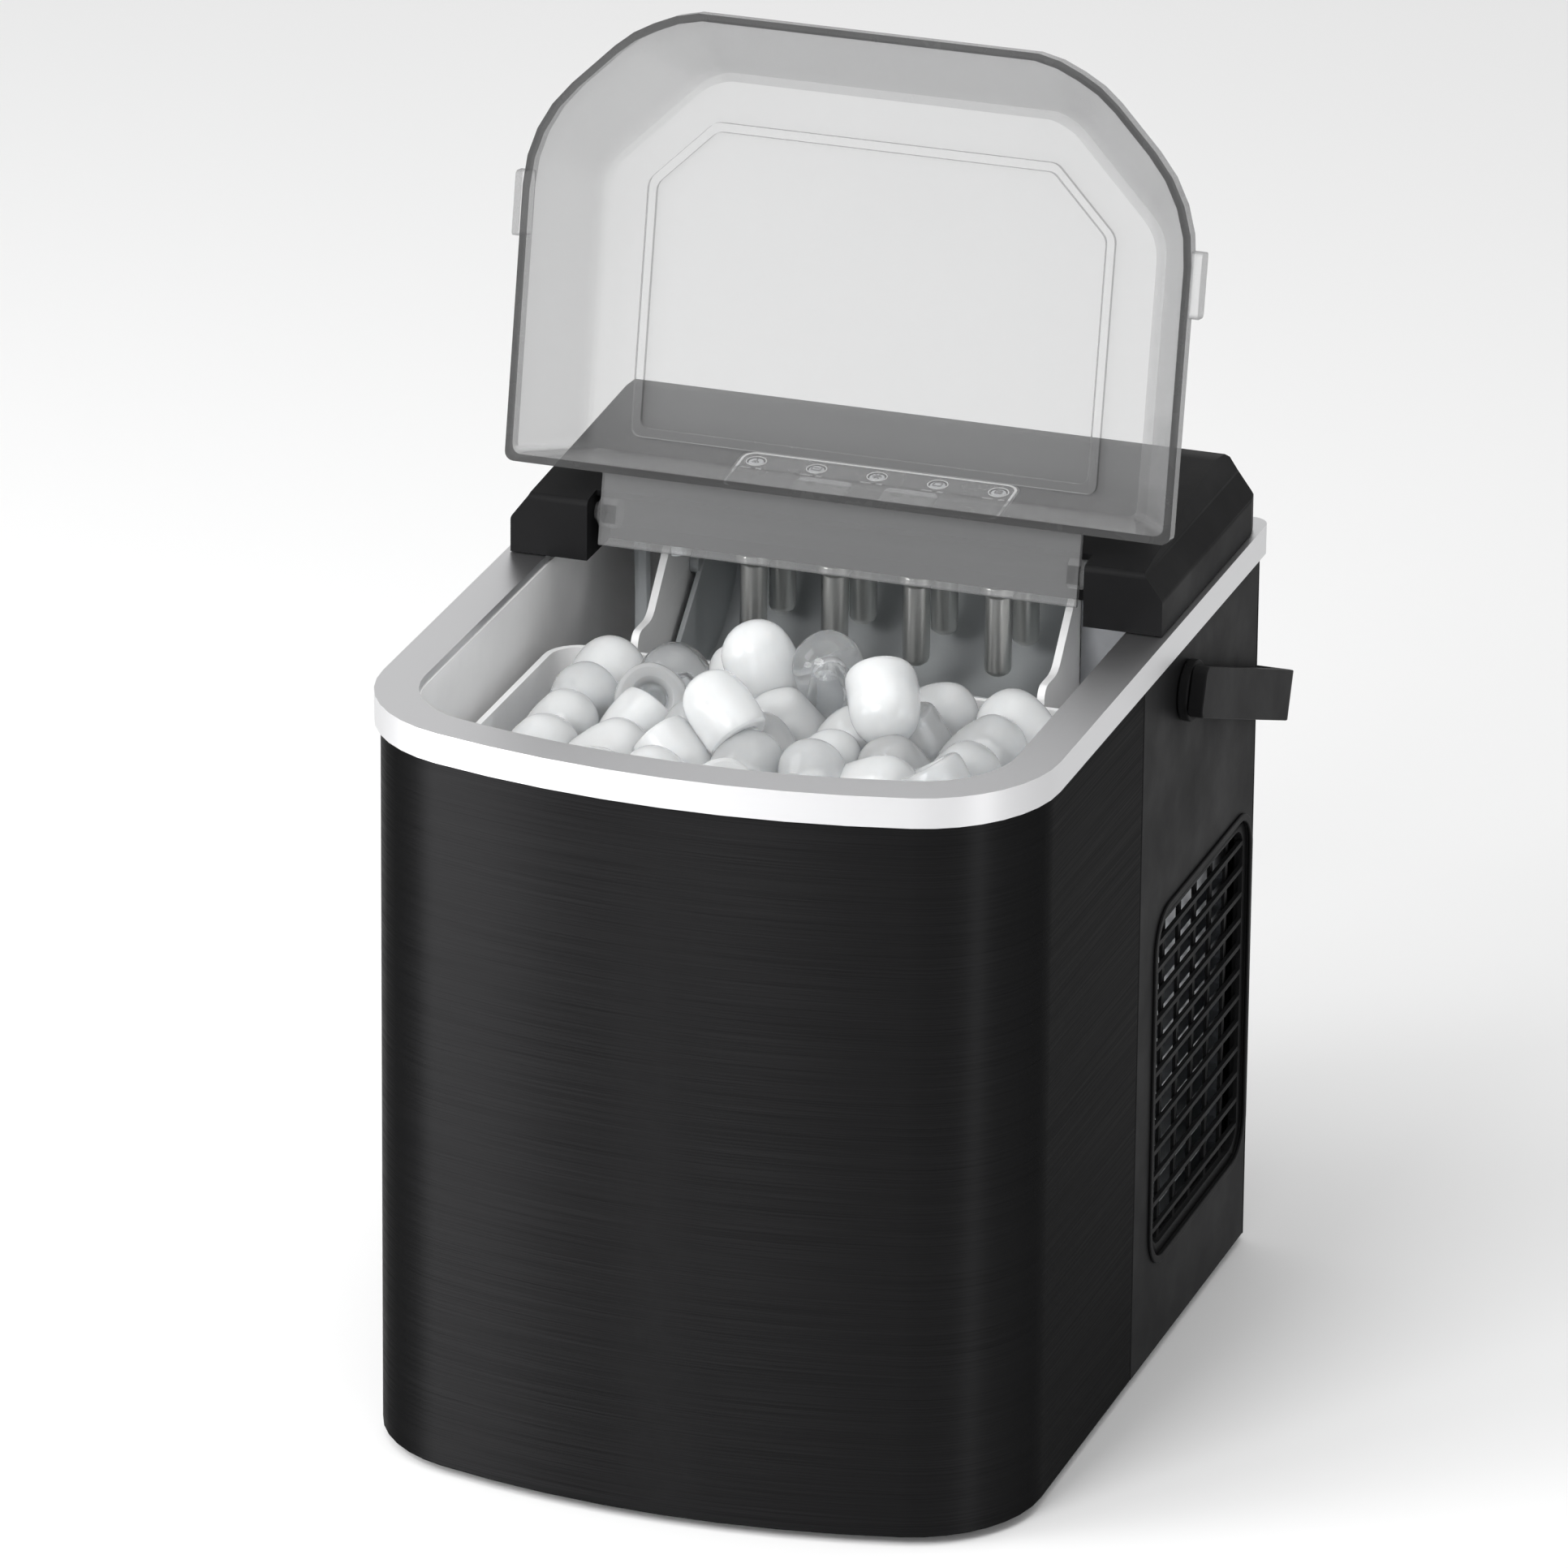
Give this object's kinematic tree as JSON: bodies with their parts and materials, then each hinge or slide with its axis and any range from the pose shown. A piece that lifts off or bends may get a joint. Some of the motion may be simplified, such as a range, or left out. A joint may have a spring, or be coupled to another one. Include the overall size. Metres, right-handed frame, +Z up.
{
  "type": "ice maker",
  "caption": "Countertop bullet ice maker with a brushed black body, silver rim, clear smoke lid standing open over the ice bin, folding carry handle and side vents.",
  "frame": {"origin": "middle of the bounding box, on the surface that the feet stand on", "axes": "+Z up, -Y towards the bowed front, +X to the right seen from the front"},
  "size_m": [0.236, 0.2898, 0.4315],
  "materials": {
    "brushed_black": "fine horizontal brushing under a black lacquer",
    "black_plastic": "satin moulded black",
    "brushed_steel": "bright brushed silver",
    "panel_film": "black film with light markings",
    "smoke_clear": "clear smoke-grey, polished",
    "white_plastic": "white, semi-gloss",
    "grey_plastic": "light grey",
    "lens": "clear white lens",
    "nickel": "nickel plated, satin",
    "rubber": "black rubber",
    "black_steel": "black enamel",
    "black_nylon": "black moulding",
    "motor_steel": "plated steel can",
    "copper": "drawn copper tube",
    "fins": "aluminium fins",
    "hose": "milky flexible tube",
    "circuit_board": "green board with components"
  },
  "bodies": {
    "machine": {"front_wrap": "brushed_black", "side_panel_left": "black_plastic", "side_panel_right": "black_plastic", "vent_grille_left": "black_plastic", "vent_grille_right": "black_plastic", "rear_panel": "black_plastic", "top_cover": "black_plastic", "fan_shroud": "black_plastic", "handle_pivot_left": "black_plastic", "handle_pivot_right": "black_plastic", "rim_trim": "brushed_steel", "panel_overlay": "panel_film", "inner_liner": "white_plastic", "side_guide_left": "white_plastic", "side_guide_right": "white_plastic", "indicator_lens_1": "lens", "indicator_lens_2": "lens", "indicator_lens_3": "lens", "indicator_lens_4": "lens", "indicator_lens_5": "lens", "evaporator_block": "nickel", "cold_finger_1": "nickel", "cold_finger_2": "nickel", "cold_finger_3": "nickel", "cold_finger_4": "nickel", "cold_finger_5": "nickel", "cold_finger_6": "nickel", "cold_finger_7": "nickel", "cold_finger_8": "nickel", "foot_1": "rubber", "foot_2": "rubber", "foot_3": "rubber", "foot_4": "rubber", "compressor_grommet_1": "rubber", "compressor_grommet_2": "rubber", "compressor_grommet_3": "rubber", "power_inlet": "rubber", "base_pan": "black_steel", "compressor": "black_steel", "water_pump": "black_nylon", "tray_motor": "motor_steel", "fan_motor": "motor_steel", "filter_drier": "copper", "discharge_line": "copper", "suction_line": "copper", "condenser": "fins", "pump_hose": "hose", "control_board": "circuit_board", "power_board": "circuit_board"},
    "lid": {"lid": "smoke_clear"},
    "handle": {"carry_handle": "black_plastic"},
    "basket": {"ice_basket": "white_plastic"},
    "tray": {"water_tray": "grey_plastic"},
    "pusher": {"ice_pusher": "grey_plastic"},
    "fan": {"fan_blade": "black_plastic"},
    "power_key": {"button_power": "grey_plastic"},
    "select_key": {"button_select": "grey_plastic"},
    "drain_plug": {"drain_cap": "rubber"}
  },
  "joints": [
    {"name": "lid_hinge", "type": "hinge", "parent": "machine", "child": "lid", "pos_m": [0, 0.02963, 0.267], "axis": [1, 0, 0], "range_deg": [0, 101]},
    {"name": "handle_pivot", "type": "hinge", "parent": "machine", "child": "handle", "pos_m": [0, 0.04663, 0.2256], "axis": [1, 0, 0], "range_deg": [0, 96]},
    {"name": "basket_lift", "type": "slide", "parent": "machine", "child": "basket", "axis": [0, 0, -1], "range_m": [-0.13, 0]},
    {"name": "tray_tilt", "type": "hinge", "parent": "machine", "child": "tray", "pos_m": [0, 0.07713, 0.235], "axis": [-1, 0, 0], "range_deg": [0, 40]},
    {"name": "pusher_slide", "type": "slide", "parent": "machine", "child": "pusher", "axis": [0, 1, 0], "range_m": [0, 0.008]},
    {"name": "fan_spin", "type": "hinge", "parent": "machine", "child": "fan", "pos_m": [0.074, 0.07563, 0.089], "axis": [1, 0, 0], "continuous": true},
    {"name": "button_power_press", "type": "slide", "parent": "machine", "child": "power_key", "axis": [0, 0.0941, -0.9956], "range_m": [0, 0.0006], "stiffness_N_per_m": 800},
    {"name": "button_select_press", "type": "slide", "parent": "machine", "child": "select_key", "axis": [0, 0.0941, -0.9956], "range_m": [0, 0.0006], "stiffness_N_per_m": 800},
    {"name": "drain_cap_pull", "type": "slide", "parent": "machine", "child": "drain_plug", "axis": [0, 1, 0], "range_m": [0, 0.012]}
  ],
  "couplings": [
    {"joint": "pusher_slide", "follows": "tray_tilt", "m_per_rad": 0.011459}
  ]
}
